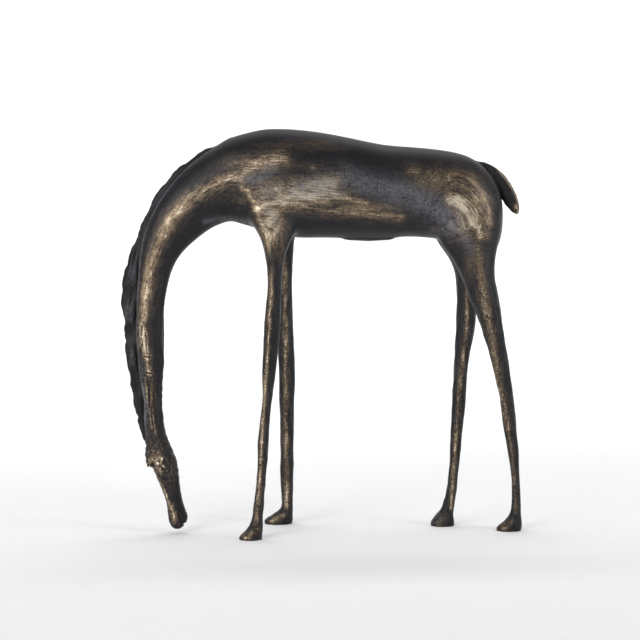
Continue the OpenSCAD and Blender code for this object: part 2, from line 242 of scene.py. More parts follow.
# ---------------------------------------------------------------- mesh helpers


def co_of(mesh):
    """Vertex places in millimetres."""
    co = np.zeros(len(mesh.vertices) * 3)
    mesh.vertices.foreach_get("co", co)
    return co.reshape(-1, 3) / MM


def normals_of(mesh):
    """Vertex normals."""
    normals = np.zeros(len(mesh.vertices) * 3)
    mesh.vertices.foreach_get("normal", normals)
    return normals.reshape(-1, 3)


def put_co(mesh, points):
    """Writes vertex places given in millimetres."""
    mesh.vertices.foreach_set("co", (points * MM).ravel())
    mesh.update()


def evaluated(mesh, kind, **settings):
    """A new mesh: this one with one modifier applied."""
    holder = bpy.data.objects.new("holder", mesh)
    bpy.context.scene.collection.objects.link(holder)
    modifier = holder.modifiers.new("step", kind)
    for key, value in settings.items():
        setattr(modifier, key, value)
    graph = bpy.context.evaluated_depsgraph_get()
    result = bpy.data.meshes.new_from_object(holder.evaluated_get(graph))
    bpy.data.objects.remove(holder)
    return result


def smoothed(mesh, passes):
    """Vertex places after plain smoothing."""
    soft = evaluated(mesh, "SMOOTH", factor=0.5, iterations=passes)
    places = co_of(soft)
    bpy.data.meshes.remove(soft)
    return places


def relaxed(mesh, passes):
    """Vertex places after smoothing that keeps the volume: what a second pass takes off is put back."""
    once = evaluated(mesh, "SMOOTH", factor=0.5, iterations=passes)
    places = 2 * co_of(once) - smoothed(once, passes)
    bpy.data.meshes.remove(once)
    return places


def copied(nodes):
    """One bmesh with merged copies of the CAD nodes' meshes."""
    bm = bmesh.new()
    for node in nodes:
        bm.from_mesh(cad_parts[node].data)
    bmesh.ops.remove_doubles(bm, verts=bm.verts, dist=0.002 * MM)
    return bm


def sphere_directions(count):
    """Directions spread evenly over a sphere."""
    golden = math.pi * (3 - math.sqrt(5))
    made = []
    for i in range(count):
        z = 1 - 2 * (i + 0.5) / count
        r = math.sqrt(1 - z * z)
        made.append(Vector((r * math.cos(golden * i), r * math.sin(golden * i), z)))
    return made


def keep_outer_skin(bm):
    """Deletes the faces of cavities and joints, which no straight line leaves, and closes the rest."""
    bm.normal_update()
    tree = BVHTree.FromBMesh(bm)
    directions = sphere_directions(40)
    hidden = []
    for face in bm.faces:
        start = face.calc_center_median() + face.normal * 0.01 * MM
        outward = (d for d in directions if d.dot(face.normal) > 0.15)
        if not any(tree.ray_cast(start, d)[0] is None for d in outward):
            hidden.append(face)
    bmesh.ops.delete(bm, geom=hidden, context="FACES")
    bmesh.ops.holes_fill(bm, edges=[e for e in bm.edges if e.is_boundary], sides=0)
    bmesh.ops.triangulate(bm, faces=[f for f in bm.faces if len(f.verts) > 3])


def without_crumbs(mesh):
    """Deletes all but the largest connected part of a mesh."""
    bm = bmesh.new()
    bm.from_mesh(mesh)
    groups = sorted(connected(bm), key=len)
    crumbs = [vert for group in groups[:-1] for vert in group]
    bmesh.ops.delete(bm, geom=crumbs, context="VERTS")
    bm.to_mesh(mesh)
    bm.free()


def refine(mesh):
    """Halves the mesh spacing on the head and the lower neck."""
    bm = bmesh.new()
    bm.from_mesh(mesh)
    fine = []
    for edge in bm.edges:
        place = edge.verts[0].co / MM
        if place.x < -100 and place.z < 190:
            fine.append(edge)
    bmesh.ops.subdivide_edges(bm, edges=fine, cuts=1, use_grid_fill=True)
    bm.to_mesh(mesh)
    bm.free()


def connected(bm):
    """The vertices of a bmesh in connected groups."""
    left = set(bm.verts)
    groups = []
    while left:
        group, front = [], [left.pop()]
        while front:
            vert = front.pop()
            group.append(vert)
            for edge in vert.link_edges:
                other = edge.other_vert(vert)
                if other in left:
                    left.remove(other)
                    front.append(other)
        groups.append(group)
    return groups


def set_attribute(mesh, name, kind, values):
    """Stores one value or vector per vertex."""
    layer = mesh.attributes.new(name, kind, "POINT")
    field = "value" if kind == "FLOAT" else "vector"
    layer.data.foreach_set(field, np.ascontiguousarray(values, np.float32).ravel())


# ---------------------------------------------------------------- the worked surface


# The middle of the haunch, which the cloth went round, as (x, z)
HAUNCH_X, HAUNCH_Z = 92, 262


def brushing(points):
    """Straightened coordinates in metres: the way the cloth went, across it, and out from the middle line."""
    x, y, z = points.T
    place, off, _ = along(points, SPINE)
    lengthways = np.stack([place, y, off], 1)
    downwards = np.stack([420 - z, y, x - MIDDLE_X], 1)
    turn = np.arctan2(z - HAUNCH_Z, x - HAUNCH_X)
    radius = np.hypot(x - HAUNCH_X, z - HAUNCH_Z)
    round_haunch = np.stack([45 * turn + 200, y, radius - 60], 1)
    legs, _ = regions(points)
    fore_root = step(x, -72, -60) * (1 - step(x, -34, -16)) * (1 - step(z, 262, 292))
    hind_root = step(x, 104, 124) * (1 - step(z, 240, 268))
    on_limb = np.maximum(legs, np.maximum(fore_root, hind_root))[:, None]
    on_haunch = (step(x, 70, 122) * step(z, 250, 272) * (np.abs(y) > 3))[:, None]
    flow = lengthways + on_haunch * (round_haunch - lengthways)
    return (flow + on_limb * (downwards - flow)) * MM


def body_forms(points):
    """Height of the muscle forms modelled on the barrel, in millimetres."""
    height = 0.8 * stroke(points, [(-64, 298), (-57, 280), (-52, 260), (-48, 244)], 5, 3.5)
    height += 0.9 * stroke(points, [(-56, 286), (-36, 293), (-8, 303), (18, 302)], 7, 10)
    height -= 0.9 * stroke(points, [(-46, 268), (-38, 281), (-20, 285)], 4, 6)
    height -= 0.7 * stroke(points, [(-74, 280), (-66, 270), (-60, 256)], 6, 4)
    height += 1.4 * dab(points, 118, 290, 26, 20)
    height += 0.7 * stroke(points, [(124, 268), (132, 244), (142, 215), (152, 180)], 6, 4)
    height -= 0.8 * stroke(points, [(84, 268), (98, 284), (96, 306)], 9)
    height -= 0.7 * dab(points, -2, 328, 34, 10)
    height *= step(np.abs(points[:, 1]), 2, 8)
    return height


# Short chisel cuts on both sides of the lower neck, as (x, z)
NECK_CUTS = [
    [(-159, 184), (-159, 176)], [(-159, 173), (-158.6, 167)], [(-155.6, 178), (-154.6, 160)],
    [(-156, 157.4), (-151, 156.6)], [(-154, 143), (-150, 142.4)], [(-143.6, 138), (-144, 122)],
    [(-153.4, 132), (-152.6, 118)], [(-148.6, 126), (-147, 108)], [(-150.6, 104), (-148.8, 92)],
]


def neck_work(points):
    """Chiselled facets, long grooves and the dressed seam of the lower neck, in millimetres."""
    x, z = points[:, 0], points[:, 2]
    place, off, _ = along(points, SPINE)
    on_neck = (x < -100) * step(z, 78, 96) * (1 - step(z, 190, 262))
    long_way = np.stack([place / 7, points[:, 1], off], 1)
    ridges = 0.55 - np.abs(grain(long_way, 9, 11))
    steps = np.abs(grain(np.stack([place, points[:, 1] / 2, off / 2], 1), 13, 12)) - 0.6
    height = on_neck * (0.55 * ridges + 0.3 * steps * (1 - step(z, 130, 200)))
    for path in NECK_CUTS:
        height -= 1.1 * stroke(points, path, 0.8) * step(np.abs(points[:, 1]), 3, 6)
    ragged = 0.8 * grain(points, 8, 13)
    seam = (x < -100) * np.exp(-(((z - HEAD_JOINT_Z + ragged) / 0.9) ** 2))
    return height - 0.4 * seam


def eye_work(points):
    """A heavy upper lid, a sunken eye and small nodules round it on each cheek, in millimetres."""
    height = 0.8 * stroke(points, [(-140.4, 69), (-143, 65.6), (-142.2, 61.6), (-139.6, 59.6)], 0.95)
    height -= 0.9 * dab(points, -139.6, 65, 1.3, 2.2)
    for x, z, size in ((-138.6, 73, 1.3), (-136.6, 68.6, 1.2), (-136, 63, 1.3), (-138, 56.6, 1.6)):
        height += 0.4 * dab(points, x, z, size)
    return height


def head_work(points):
    """The features of the head, in millimetres."""
    x, y, z = points[:, 0], np.abs(points[:, 1]), points[:, 2]
    on_head = (x < -100) * (1 - step(z, 84, 92))
    sides = step(y, 2, 4.5)
    height = eye_work(points) * sides
    height += 0.7 * dab(points, -131, 62, 4, 12) * sides
    height -= 0.8 * stroke(points, [(-143, 86), (-138.5, 76), (-134.6, 66), (-135.4, 56)], 1.2) * sides
    height -= 0.6 * dab(points, -137, 36, 4, 14) * sides
    height += 0.6 * stroke(points, [(-148, 56), (-142.4, 43), (-138.4, 33), (-135.4, 22)], 1.3) * sides
    height += 0.6 * dab(points, -131.4, 15, 3.2, 7) * sides
    height += 0.45 * stroke(points, [(-128, 50), (-127.4, 34), (-124, 20)], 1.8) * sides
    height -= 1.0 * dab(points, -129.6, 8.6, 1.3, 1.8) * step(y, 2, 4)
    height -= 1.2 * stroke(points, [(-121.5, 7), (-126, 12), (-128, 18)], 0.8, 0.6)
    height += 0.6 * dab(points, -120.5, 14, 3, 3.4)
    height -= 1.2 * dab(points, -151.4, 73, 1.4, 2.0) * sides
    lumps = 0.13 * grain(points, 4.2, 14) + 0.1 * (0.7 - np.abs(grain(points, 3.4, 15)))
    rough = step(z, 44, 56) + 0.4
    off_brow = 1 - 0.8 * dab(points, -154, 61, 4, 7)
    return on_head * off_brow * (height + lumps * rough)


def limb_work(points):
    """Hammered lumps, long facets and cast pits of the legs, as a share of the hammering depth."""
    legs, _ = regions(points)
    stretched = points * (1, 1, 0.22)
    lumps = 0.2 * grain(points * (1, 1, 0.4), 11, 21)
    facets = 0.6 - np.abs(grain(stretched, 7, 22))
    dents = -1.0 * step(grain(points * (1, 1, 0.6), 4.5, 23), 1.6, 2.4)
    above_hoof = step(points[:, 2], 2, 12)
    return legs * above_hoof * (lumps + 0.7 * facets + dents)


# Broad soft zones on both flanks, patina rubbed thin and partly painted highlight: middle (x, z), half width,
# half height, strength
BODY_ZONES = [
    (-24, 298, 44, 15, 0.92), (22, 286, 52, 9, 0.46), (106, 310, 36, 14, 0.55), (126, 284, 20, 27, 0.7),
    (-22, 341, 46, 6, 0.32), (-62, 324, 34, 12, 0.4), (-46, 274, 12, 25, 0.84), (-147, 64, 10, 14, 0.5),
    (-137, 56, 9, 20, 0.24), (131, 250, 11, 30, 0.36), (101, 268, 12, 9, 0.28), (-6, 322, 26, 8, 0.26),
    (-86, 304, 26, 14, 0.24), (-152, 120, 8, 40, 0.26), (-146, 72, 10, 16, 0.36),
]

# Strokes on both flanks, patina rubbed back by a cloth and partly painted highlight, brightest on the haunch:
# path as (x, z), width at its start and end, strength
BODY_RUBS_AND_HIGHLIGHTS = [
    ([(-36, 331), (-54, 328), (-73, 316), (-94, 307), (-116, 294), (-132, 277), (-144, 255), (-151, 234),
      (-155, 208), (-158, 181), (-158, 168)], 6.5, 3.4, 0.59),
    ([(-73, 310), (-61, 293), (-57, 280), (-52, 266), (-50, 256)], 4.4, 3.2, 0.52),
    ([(-59, 287), (-44, 292), (-28, 302), (-9, 307), (8, 309)], 4, 7, 0.82),
    ([(-48, 290), (-21, 297), (-4, 297), (13, 296), (36, 292)], 3.4, 2.6, 0.62),
    ([(-20, 286), (-4, 286), (13, 284), (31, 282), (66, 279)], 3, 4, 0.5),
    # The two haunch strokes paint the haunch's highlight, the second one its brightest core.
    ([(110, 294), (119, 288), (125, 282), (132, 273), (136, 262)], 6, 3.4, 0.84),
    ([(114, 294), (122, 285), (129, 274)], 4.4, 3.2, 0.98),
    ([(75, 318), (92, 316), (110, 314), (126, 311), (138, 298), (142, 284), (141, 262)], 5, 5, 0.42),
    ([(134, 262), (134, 246), (136, 226)], 4, 4, 0.42),
    ([(-158, 186), (-157, 170), (-154, 157), (-153, 142)], 2.8, 2.4, 0.72),
    ([(-156, 139), (-155, 128), (-154, 117), (-152, 105), (-150, 94)], 1.3, 1.3, 0.46),
    ([(-150, 112), (-149, 98), (-147, 88)], 1.2, 1.6, 0.38),
    ([(-154, 64), (-148, 67), (-143, 55)], 3.4, 3, 0.52),
    ([(-142, 68), (-141, 61)], 1.8, 1.8, 0.54),
    ([(-146, 52), (-142, 43), (-138, 34), (-135, 25)], 1.1, 1.1, 0.5),
    ([(-134, 24), (-132, 16), (-130.5, 10)], 1.8, 2.4, 0.62),
    ([(172, 288), (174, 281)], 2, 3, 0.6),
    ([(144, 329), (153, 323), (164, 310), (171, 298), (177, 283)], 0.9, 1.1, 0.6),
]

# Strokes of painted grey sheen, a reflection painted on the dark patina
BODY_SHEENS = [
    ([(-68, 312), (-56, 313), (-48, 320)], 6, 7, 0.4),
    ([(-48, 301), (-22, 300), (10, 304)], 8, 9, 0.46),
    ([(-50, 290), (-43, 276), (-41, 262)], 5, 3, 0.4),
    ([(-30, 302), (-4, 308), (20, 312), (48, 305), (77, 298), (98, 287), (110, 276)], 8, 12, 0.62),
    ([(-103, 275), (-90, 278), (-74, 276), (-61, 268)], 2.5, 3, 0.45),
    ([(112, 280), (120, 268), (128, 250)], 7, 5, 0.4),
]

# The same strokes on single legs, rubbed metal and partly painted highlight: side (-1 near, 1 off), path,
# width at its start and end, strength
LEG_RUBS_AND_HIGHLIGHTS = [
    (-1, [(-46, 240), (-50, 170), (-54.5, 110), (-58.5, 40), (-61, 14)], 1.9, 1.8, 0.45),
    (-1, [(-60, 10), (-70, 3)], 2, 3, 0.36),
    (1, [(-32, 245), (-31, 150), (-30.5, 70), (-30, 16)], 2.2, 2.2, 0.44),
    (1, [(-32, 9), (-42, 4)], 2, 3, 0.34),
    (-1, [(135, 233), (139, 208), (148, 172), (153, 140), (157, 120), (163, 92)], 4.2, 2.6, 0.45),
    (-1, [(163, 92), (168, 60), (171, 16)], 1.8, 1.6, 0.28),
    (-1, [(168, 10), (160, 4)], 2, 3, 0.3),
    (1, [(131, 215), (130, 180), (126, 140), (122, 90), (119, 40), (117, 16)], 2.2, 1.6, 0.42),
    (1, [(112, 10), (106, 4)], 2, 3, 0.3),
]


def haloed_stroke(points, path, start, end, spread, core_share, side=0):
    """A stroke with a sharp core and a wider, fainter halo."""
    core = stroke(points, path, start, end, side)
    halo = stroke(points, path, spread * start, spread * end, side)
    return core_share * core + (1 - core_share) * halo


def rubbing_and_highlights(points):
    """How far the patina is rubbed off, with painted highlights in the same map, from 0 to about 1."""
    total = np.zeros(len(points))
    for x, z, half_width, half_height, strength in BODY_ZONES:
        total = np.maximum(total, strength * dab(points, x, z, half_width, half_height))
    for path, start, end, strength in BODY_RUBS_AND_HIGHLIGHTS:
        total = np.maximum(total, strength * haloed_stroke(points, path, start, end, 2.6, 0.58))
    on_legs = (1 - step(points[:, 2], 228, 254)) * (points[:, 0] > NECK_JOINT_X)
    for side, path, start, end, strength in LEG_RUBS_AND_HIGHLIGHTS:
        total = np.maximum(total, on_legs * strength * haloed_stroke(points, path, start, end, 2.0, 0.6, side))
    return total


def crest(points):
    """1 on the bead that runs along each side of the mane's root."""
    place, off, length = along(points, SPINE)
    on_neck = step(place, 224, 256) * (1 - step(place, length - 96, length - 82))
    return on_neck * (off * CREST_SIDE > 0) * np.exp(-(((np.abs(points[:, 1]) - 4.7) / 1.0) ** 2))


def sheen(points):
    """How far a grey sheen is painted on the dark patina, from 0 to 1."""
    # The crest bead gets a painted highlight line along the mane's root.
    total = 1.3 * crest(points)
    for path, start, end, strength in BODY_SHEENS:
        total = np.maximum(total, strength * stroke(points, path, start, end))
    return total


def finish_surface(mesh, cast=None, rub_and_sheen_share=1.0):
    """Stores what the patina needs: rubbed patina with painted highlights, painted sheen, relief, casting
    skin (cast) and the brushing coordinates.
    """
    points = co_of(mesh)
    relief = np.sum((points - smoothed(mesh, 10)) * normals_of(mesh), axis=1)
    legs, neck = regions(points)
    if cast is None:
        casting_skin = np.clip(legs + neck, 0, 1)
    else:
        casting_skin = np.full(len(points), cast)
    set_attribute(mesh, "rub_and_highlight", "FLOAT", rubbing_and_highlights(points) * rub_and_sheen_share)
    set_attribute(mesh, "sheen", "FLOAT", sheen(points) * rub_and_sheen_share)
    set_attribute(mesh, "relief", "FLOAT", np.clip(relief / 0.12, -1, 1))
    set_attribute(mesh, "cast", "FLOAT", casting_skin)
    set_attribute(mesh, "brushing", "FLOAT_VECTOR", brushing(points))


# The brow that juts out at the top of the face: its middle and radii in millimetres
BROW_MIDDLE = (-149.4, 0, 63.5)
BROW_RADII = (6.6, 5, 5.2)


def joined_skin(voxel):
    """One even mesh of everything cast and dressed together, without the cavities and joints inside."""
    bm = copied([
        "barrel_casting", "neck_casting", "head_casting", "foreleg_near", "foreleg_off",
        "hindleg_near", "hindleg_off", "core_pin_plugs", "belly_core_plate",
    ])
    brow = Matrix.Translation(Vector(BROW_MIDDLE) * MM) @ Matrix.Diagonal((*BROW_RADII, 1))
    bmesh.ops.create_icosphere(bm, subdivisions=3, radius=MM, matrix=brow)
    keep_outer_skin(bm)
    rough = bpy.data.meshes.new("rough_skin")
    bm.to_mesh(rough)
    bm.free()
    skin = evaluated(rough, "REMESH", mode="VOXEL", voxel_size=voxel, adaptivity=0)
    skin.name = "worked_skin"
    without_crumbs(skin)
    refine(skin)
    return skin


def softened(skin, settings):
    """Vertex places with the limb roots blended into the barrel and the legs and head only rounded."""
    points = co_of(skin)
    legs, neck = regions(points)
    on_barrel = (1 - np.clip(legs + neck, 0, 1))[:, None]
    blended = relaxed(skin, settings.body_passes)
    rounded = relaxed(skin, settings.limb_passes)
    plain = smoothed(skin, 2 * settings.body_passes)
    chest = 0.9 * dab(points, -62, 260, 12, 11)[:, None]
    places = rounded + on_barrel * (blended - rounded)
    return places + chest * (plain - places)


class BRONZE_OT_skin(bpy.types.Operator):
    """Joins, relaxes and works the outer skin of the barrel, neck, head and legs"""

    bl_idname = "bronze.skin"
    bl_label = "Work the Skin"

    def execute(self, context):
        settings = context.scene.bronze_modelling
        skin = joined_skin(settings.voxel)
        above_sole = step(co_of(skin)[:, 2], 0.4, 1.2)[:, None]
        points = softened(skin, settings)
        points[:, 2:] *= above_sole
        put_co(skin, points)
        work = body_forms(points) + neck_work(points) + head_work(points) + 0.9 * crest(points)
        work += limb_work(points) * settings.hammer / MM
        put_co(skin, points + normals_of(skin) * work[:, None] * above_sole)
        finish_surface(skin)
        return {"FINISHED"}


# ---------------------------------------------------------------- cutting the skin into its sections


def sections():
    """Node name and a test that says whether a place (x, y, z in millimetres) lies in that section."""

    def fore(x, z):
        return NECK_JOINT_X < x < MIDDLE_X and z < FORE_JOINT_Z

    def hind(x, z):
        return x > MIDDLE_X and z < HIND_JOINT_Z

    return {
        "neck_casting": lambda x, y, z: x < NECK_JOINT_X and z > HEAD_JOINT_Z,
        "head_casting": lambda x, y, z: x < NECK_JOINT_X and z < HEAD_JOINT_Z,
        "foreleg_near": lambda x, y, z: fore(x, z) and y < 0,
        "foreleg_off": lambda x, y, z: fore(x, z) and y > 0,
        "hindleg_near": lambda x, y, z: hind(x, z) and y < 0,
        "hindleg_off": lambda x, y, z: hind(x, z) and y > 0,
        "barrel_casting": lambda x, y, z: x > NECK_JOINT_X and not fore(x, z) and not hind(x, z),
    }


def scored_skin():
    """The worked skin with an edge loop run exactly along each joint plane."""
    bm = bmesh.new()
    bm.from_mesh(bpy.data.meshes["worked_skin"])
    along_x, upwards = Vector((1, 0, 0)), Vector((0, 0, 1))
    cuts = [
        (NECK_JOINT_X * along_x, along_x, lambda c: c.z > 240),
        (HEAD_JOINT_Z * upwards, upwards, lambda c: c.x < NECK_JOINT_X),
        (FORE_JOINT_Z * upwards, upwards, lambda c: NECK_JOINT_X < c.x < MIDDLE_X),
        (HIND_JOINT_Z * upwards, upwards, lambda c: c.x > MIDDLE_X),
    ]
    reach = 3
    for place, normal, near in cuts:
        faces = []
        for face in bm.faces:
            centre = face.calc_center_median() / MM
            if near(centre) and abs((centre - place).dot(normal)) < reach:
                faces.append(face)
        around = set(faces)
        for face in faces:
            around.update(face.edges)
            around.update(face.verts)
        bmesh.ops.bisect_plane(bm, geom=list(around), plane_co=place * MM, plane_no=normal, dist=0.02 * MM)
    return bm


def closed_piece(bm, name):
    """A closed object from an open bmesh: each open loop gets a flat face with a sharp rim."""
    loops = [e for e in bm.edges if e.is_boundary]
    caps = bmesh.ops.holes_fill(bm, edges=loops, sides=0)["faces"]
    bm.normal_update()
    for face in bm.faces:
        face.smooth = True
    for cap in caps:
        cap.smooth = False
        for edge in cap.edges:
            edge.smooth = False
    return new_piece(bm, name)


def new_piece(bm, name):
    """A named object from a bmesh, riding on the statuette's one body."""
    mesh = bpy.data.meshes.new(name)
    bm.to_mesh(mesh)
    bm.free()
    piece = bpy.data.objects.new(name, mesh)
    bpy.context.scene.collection.objects.link(piece)
    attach(piece, "root")
    return piece


def patinated(piece, node):
    """Gives a piece its patina and hides its CAD node."""
    piece.data.materials.clear()
    piece.data.materials.append(patina_material())
    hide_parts(node)


class BRONZE_OT_sections(bpy.types.Operator):
    """Cuts the worked skin into the barrel, neck, head and leg castings"""

    bl_idname = "bronze.sections"
    bl_label = "Cut the Castings"

    def execute(self, context):
        whole = scored_skin()
        for node, inside in sections().items():
            part = whole.copy()
            away = []
            for face in part.faces:
                x, y, z = face.calc_center_median() / MM
                if not inside(x, y, z):
                    away.append(face)
            bmesh.ops.delete(part, geom=away, context="FACES")
            patinated(closed_piece(part, node + "_bronze"), node)
        whole.free()
        return {"FINISHED"}


# ---------------------------------------------------------------- mane, tail, plate and plugs


def skin_tree():
    """The worked skin for finding the nearest place on it."""
    bm = bmesh.new()
    bm.from_mesh(bpy.data.meshes["worked_skin"])
    tree = BVHTree.FromBMesh(bm)
    bm.free()
    return tree


def fine_mesh(node, voxel, passes):
    """An evenly meshed, rounded copy of a thin CAD node."""
    bm = copied([node])
    rough = bpy.data.meshes.new(node + "_rough")
    bm.to_mesh(rough)
    bm.free()
    mesh = evaluated(rough, "REMESH", mode="VOXEL", voxel_size=voxel, adaptivity=0)
    put_co(mesh, relaxed(mesh, passes))
    return mesh


def gap_to_skin(points, tree):
    """Distance of each place from the skin and the skin's outward direction there."""
    gap = np.zeros(len(points))
    out = np.zeros((len(points), 3))
    for i, p in enumerate(points):
        place, normal, _, _ = tree.find_nearest(Vector(p * MM))
        away = Vector(p * MM) - place
        gap[i] = away.dot(normal) / MM
        out[i] = normal
    return gap, out


def rooted(mesh, tree, depth_mm):
    """Sinks the side of a thin piece that lies on the skin; returns its heights and the skin's normals."""
    points = co_of(mesh)
    gap, out = gap_to_skin(points, tree)
    sink = depth_mm * (1 - step(gap, 0.3, 1.6))
    put_co(mesh, points - out * sink[:, None])
    return gap, out


def piece_from(mesh, name):
    """A smooth shaded object from a finished mesh."""
    bm = bmesh.new()
    bm.from_mesh(mesh)
    for face in bm.faces:
        face.smooth = True
    return new_piece(bm, name)


class BRONZE_OT_mane(bpy.types.Operator):
    """Models the wavy mane with its strands"""

    bl_idname = "bronze.mane"
    bl_label = "Model the Mane"

    def execute(self, context):
        mesh = fine_mesh("mane_strip", context.scene.bronze_modelling.fine_voxel, 6)
        self.reach_withers(mesh)
        height, out_of_skin = rooted(mesh, skin_tree(), 1.6)
        points = co_of(mesh)
        place, _, _ = along(points, SPINE)
        level = np.zeros(len(points))
        out = normals_of(mesh)
        sides = np.abs(out[:, 1])
        free = step(height, 0.5, 3)
        ends = step(points[:, 2], 74, 86) * (1 - step(points[:, 2], 336, 350))

        # The rim swells into large locks and smaller tufts, which aren't evenly spaced.
        wave = grain(np.stack([place, level, level], 1), 30, 31)
        locks = np.abs(np.sin(math.pi * (place + 4 * wave) / 22))
        tufts = np.abs(np.sin(math.pi * (place + 3 * wave) / 9.5))
        flat_out = out * (1, 0, 1)
        flat_out /= np.maximum(np.linalg.norm(flat_out, axis=1), 0.3)[:, None]
        rim = step(height, 0.8, 4) * (1 - sides)
        points += flat_out * (ends * rim * (1.5 * locks + 0.6 * tufts - 1.1))[:, None]

        # The crest sways from side to side and thins out towards the withers.
        sway = grain(np.stack([place, level, height], 1), 26, 32)
        points[:, 1] += free * ends * (0.9 * sway)
        taper = 1 - step(place, 228, 268)
        points -= out_of_skin * (taper * np.maximum(height + 1.2, 0))[:, None]

        hair = np.stack([(place + 1.2 * height) / 7, level, height * 0.9 - place * 0.1], 1)
        strands = grain(hair, 3.4, 33)
        points += out * (free * 0.16 * strands * sides)[:, None]
        put_co(mesh, points)
        finish_surface(mesh, cast=0.3, rub_and_sheen_share=0.2)
        patinated(piece_from(mesh, "mane_strip_bronze"), "mane_strip")
        return {"FINISHED"}

    def reach_withers(self, mesh):
        """Draws the upper end out over the neck joint, as the crest runs on to the withers."""
        points = co_of(mesh)
        place, _, _ = along(points, SPINE)
        stretch = 1 - step(place, 243, 296)
        put_co(mesh, points + stretch[:, None] * (12.5, 0, 6.5))


class BRONZE_OT_tail(bpy.types.Operator):
    """Models the curved tail with its long groove"""

    bl_idname = "bronze.tail"
    bl_label = "Model the Tail"

    def execute(self, context):
        mesh = fine_mesh("tail_blade", context.scene.bronze_modelling.fine_voxel, 8)
        height, out_of_skin = rooted(mesh, skin_tree(), 1.4)
        points = co_of(mesh)
        out = normals_of(mesh)
        sides = np.abs(out[:, 1])
        taper = 1 - step(points[:, 0], 133, 146)
        points -= out_of_skin * (taper * np.maximum(height + 0.3, 0))[:, None]
        run = points[:, 0] * 0.55 - points[:, 2] * 0.84
        across = points[:, 0] * 0.84 + points[:, 2] * 0.55
        strands = grain(np.stack([run / 9, np.zeros(len(run)), across], 1), 4, 42)
        points += out * (step(height, 0.5, 3) * sides * 0.1 * strands)[:, None]
        points += out * (0.08 * grain(points, 6, 41))[:, None]
        put_co(mesh, points)
        finish_surface(mesh, cast=0.2)
        patinated(piece_from(mesh, "tail_blade_bronze"), "tail_blade")
        return {"FINISHED"}


class BRONZE_OT_closures(bpy.types.Operator):
    """Models the belly plate and the core pin plugs flush with the worked skin"""

    bl_idname = "bronze.closures"
    bl_label = "Close the Core Holes"

    def execute(self, context):
        tree = skin_tree()
        self.plate(tree)
        self.plugs(tree)
        return {"FINISHED"}

    def plate(self, tree):
        """An oblong plate that follows the belly, stands just proud of it and swells in the middle."""
        proud, dome = 0.1 * MM, 1.0 * MM
        low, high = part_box("belly_core_plate")
        middle = (low + high) / 2
        radius = (high.y - low.y) / 2
        straight = (high.x - low.x) / 2 - radius
        bm = bmesh.new()
        bmesh.ops.create_cone(
            bm, cap_ends=True, segments=48, radius1=radius, radius2=radius, depth=high.z - low.z
        )
        bottom = [f for f in bm.faces if f.normal.z < -0.9]
        bmesh.ops.inset_region(
            bm, faces=bottom, thickness=0.9 * MM, depth=0.45 * MM, use_even_offset=True
        )
        bm.normal_update()
        bottom = [f for f in bm.faces if f.normal.z < -0.99]
        for _ in range(4):
            bmesh.ops.inset_region(bm, faces=bottom, thickness=1.1 * MM)
            bm.normal_update()
        for vert in bm.verts:
            if abs(vert.co.x) > 1e-7:
                vert.co.x += math.copysign(straight, vert.co.x)
            vert.co += middle
        for vert in bm.verts:
            if vert.co.z < middle.z:
                below = Vector((vert.co.x, vert.co.y, low.z - 0.01))
                belly = tree.ray_cast(below, Vector((0, 0, 1)))[0].z
                u = (vert.co.x - middle.x) / (straight + radius)
                v = (vert.co.y - middle.y) / radius
                swell = dome * max(0, 1 - u * u) ** 1.6 * max(0, 1 - v * v)
                vert.co.z += belly - low.z - proud - swell
        piece = closed_piece(bm, "belly_core_plate_bronze")
        finish_surface(piece.data, cast=0.3, rub_and_sheen_share=0.5)
        patinated(piece, "belly_core_plate")

    def plugs(self, tree):
        """Six round plugs, each with its outer face on the skin and its inner face inside the wall."""
        proud, inside = 0.06 * MM, 2.5 * MM
        source = copied(["core_pin_plugs"])
        bm = bmesh.new()
        for centre, radius in plug_places(source):
            side = 1 if centre.y > 0 else -1
            turn = Matrix.Rotation(-side * math.pi / 2, 4, "X")
            disc = bmesh.ops.create_cone(
                bm, cap_ends=True, segments=32, radius1=radius, radius2=radius, depth=4 * MM,
                matrix=Matrix.Translation(centre) @ turn,
            )["verts"]
            for vert in disc:
                if side * (vert.co.y - centre.y) > 0:
                    away = Vector((vert.co.x, side * 0.1, vert.co.z))
                    skin = tree.ray_cast(away, Vector((0, -side, 0)))[0].y
                    vert.co.y = skin + side * proud
                else:
                    vert.co.y = centre.y - side * inside
        source.free()
        piece = closed_piece(bm, "core_pin_plugs_bronze")
        finish_surface(piece.data, cast=0)
        patinated(piece, "core_pin_plugs")


def plug_places(source):
    """Centre and radius of each separate plug in a bmesh."""
    found = []
    for group in connected(source):
        co = np.array([v.co for v in group])
        low, high = co.min(0), co.max(0)
        found.append((Vector((low + high) / 2), (high[0] - low[0]) / 2))
    return found


# ---------------------------------------------------------------- materials


def add(tree, kind, inputs=None, **settings):
    """Adds a node with its settings; an input takes a value, or a link where a socket is given."""
    node = tree.nodes.new(kind)
    for key, value in settings.items():
        setattr(node, key, value)
    for key, value in (inputs or {}).items():
        if isinstance(value, bpy.types.NodeSocket):
            tree.links.new(value, node.inputs[key])
        else:
            node.inputs[key].default_value = value
    return node


def new_material(name):
    """A material with an empty node tree, and the tree."""
    material = bpy.data.materials.new(name)
    material.use_nodes = True
    material.node_tree.nodes.clear()
    return material, material.node_tree


def total(tree, start, parts, clamp=False):
    """Start plus each part's value times its weight, held between 0 and 1 if clamp is set."""
    for value, weight in parts:
        inputs = {0: value, 1: weight, 2: start}
        start = add(tree, "ShaderNodeMath", inputs, operation="MULTIPLY_ADD").outputs[0]
    start.node.use_clamp = clamp
    return start


def unevenness(tree, middle, parts):
    """Weighted patterns that swing round a middle value, as each pattern swings round 0.5."""
    return total(tree, middle - 0.5 * sum(weight for _, weight in parts), parts)


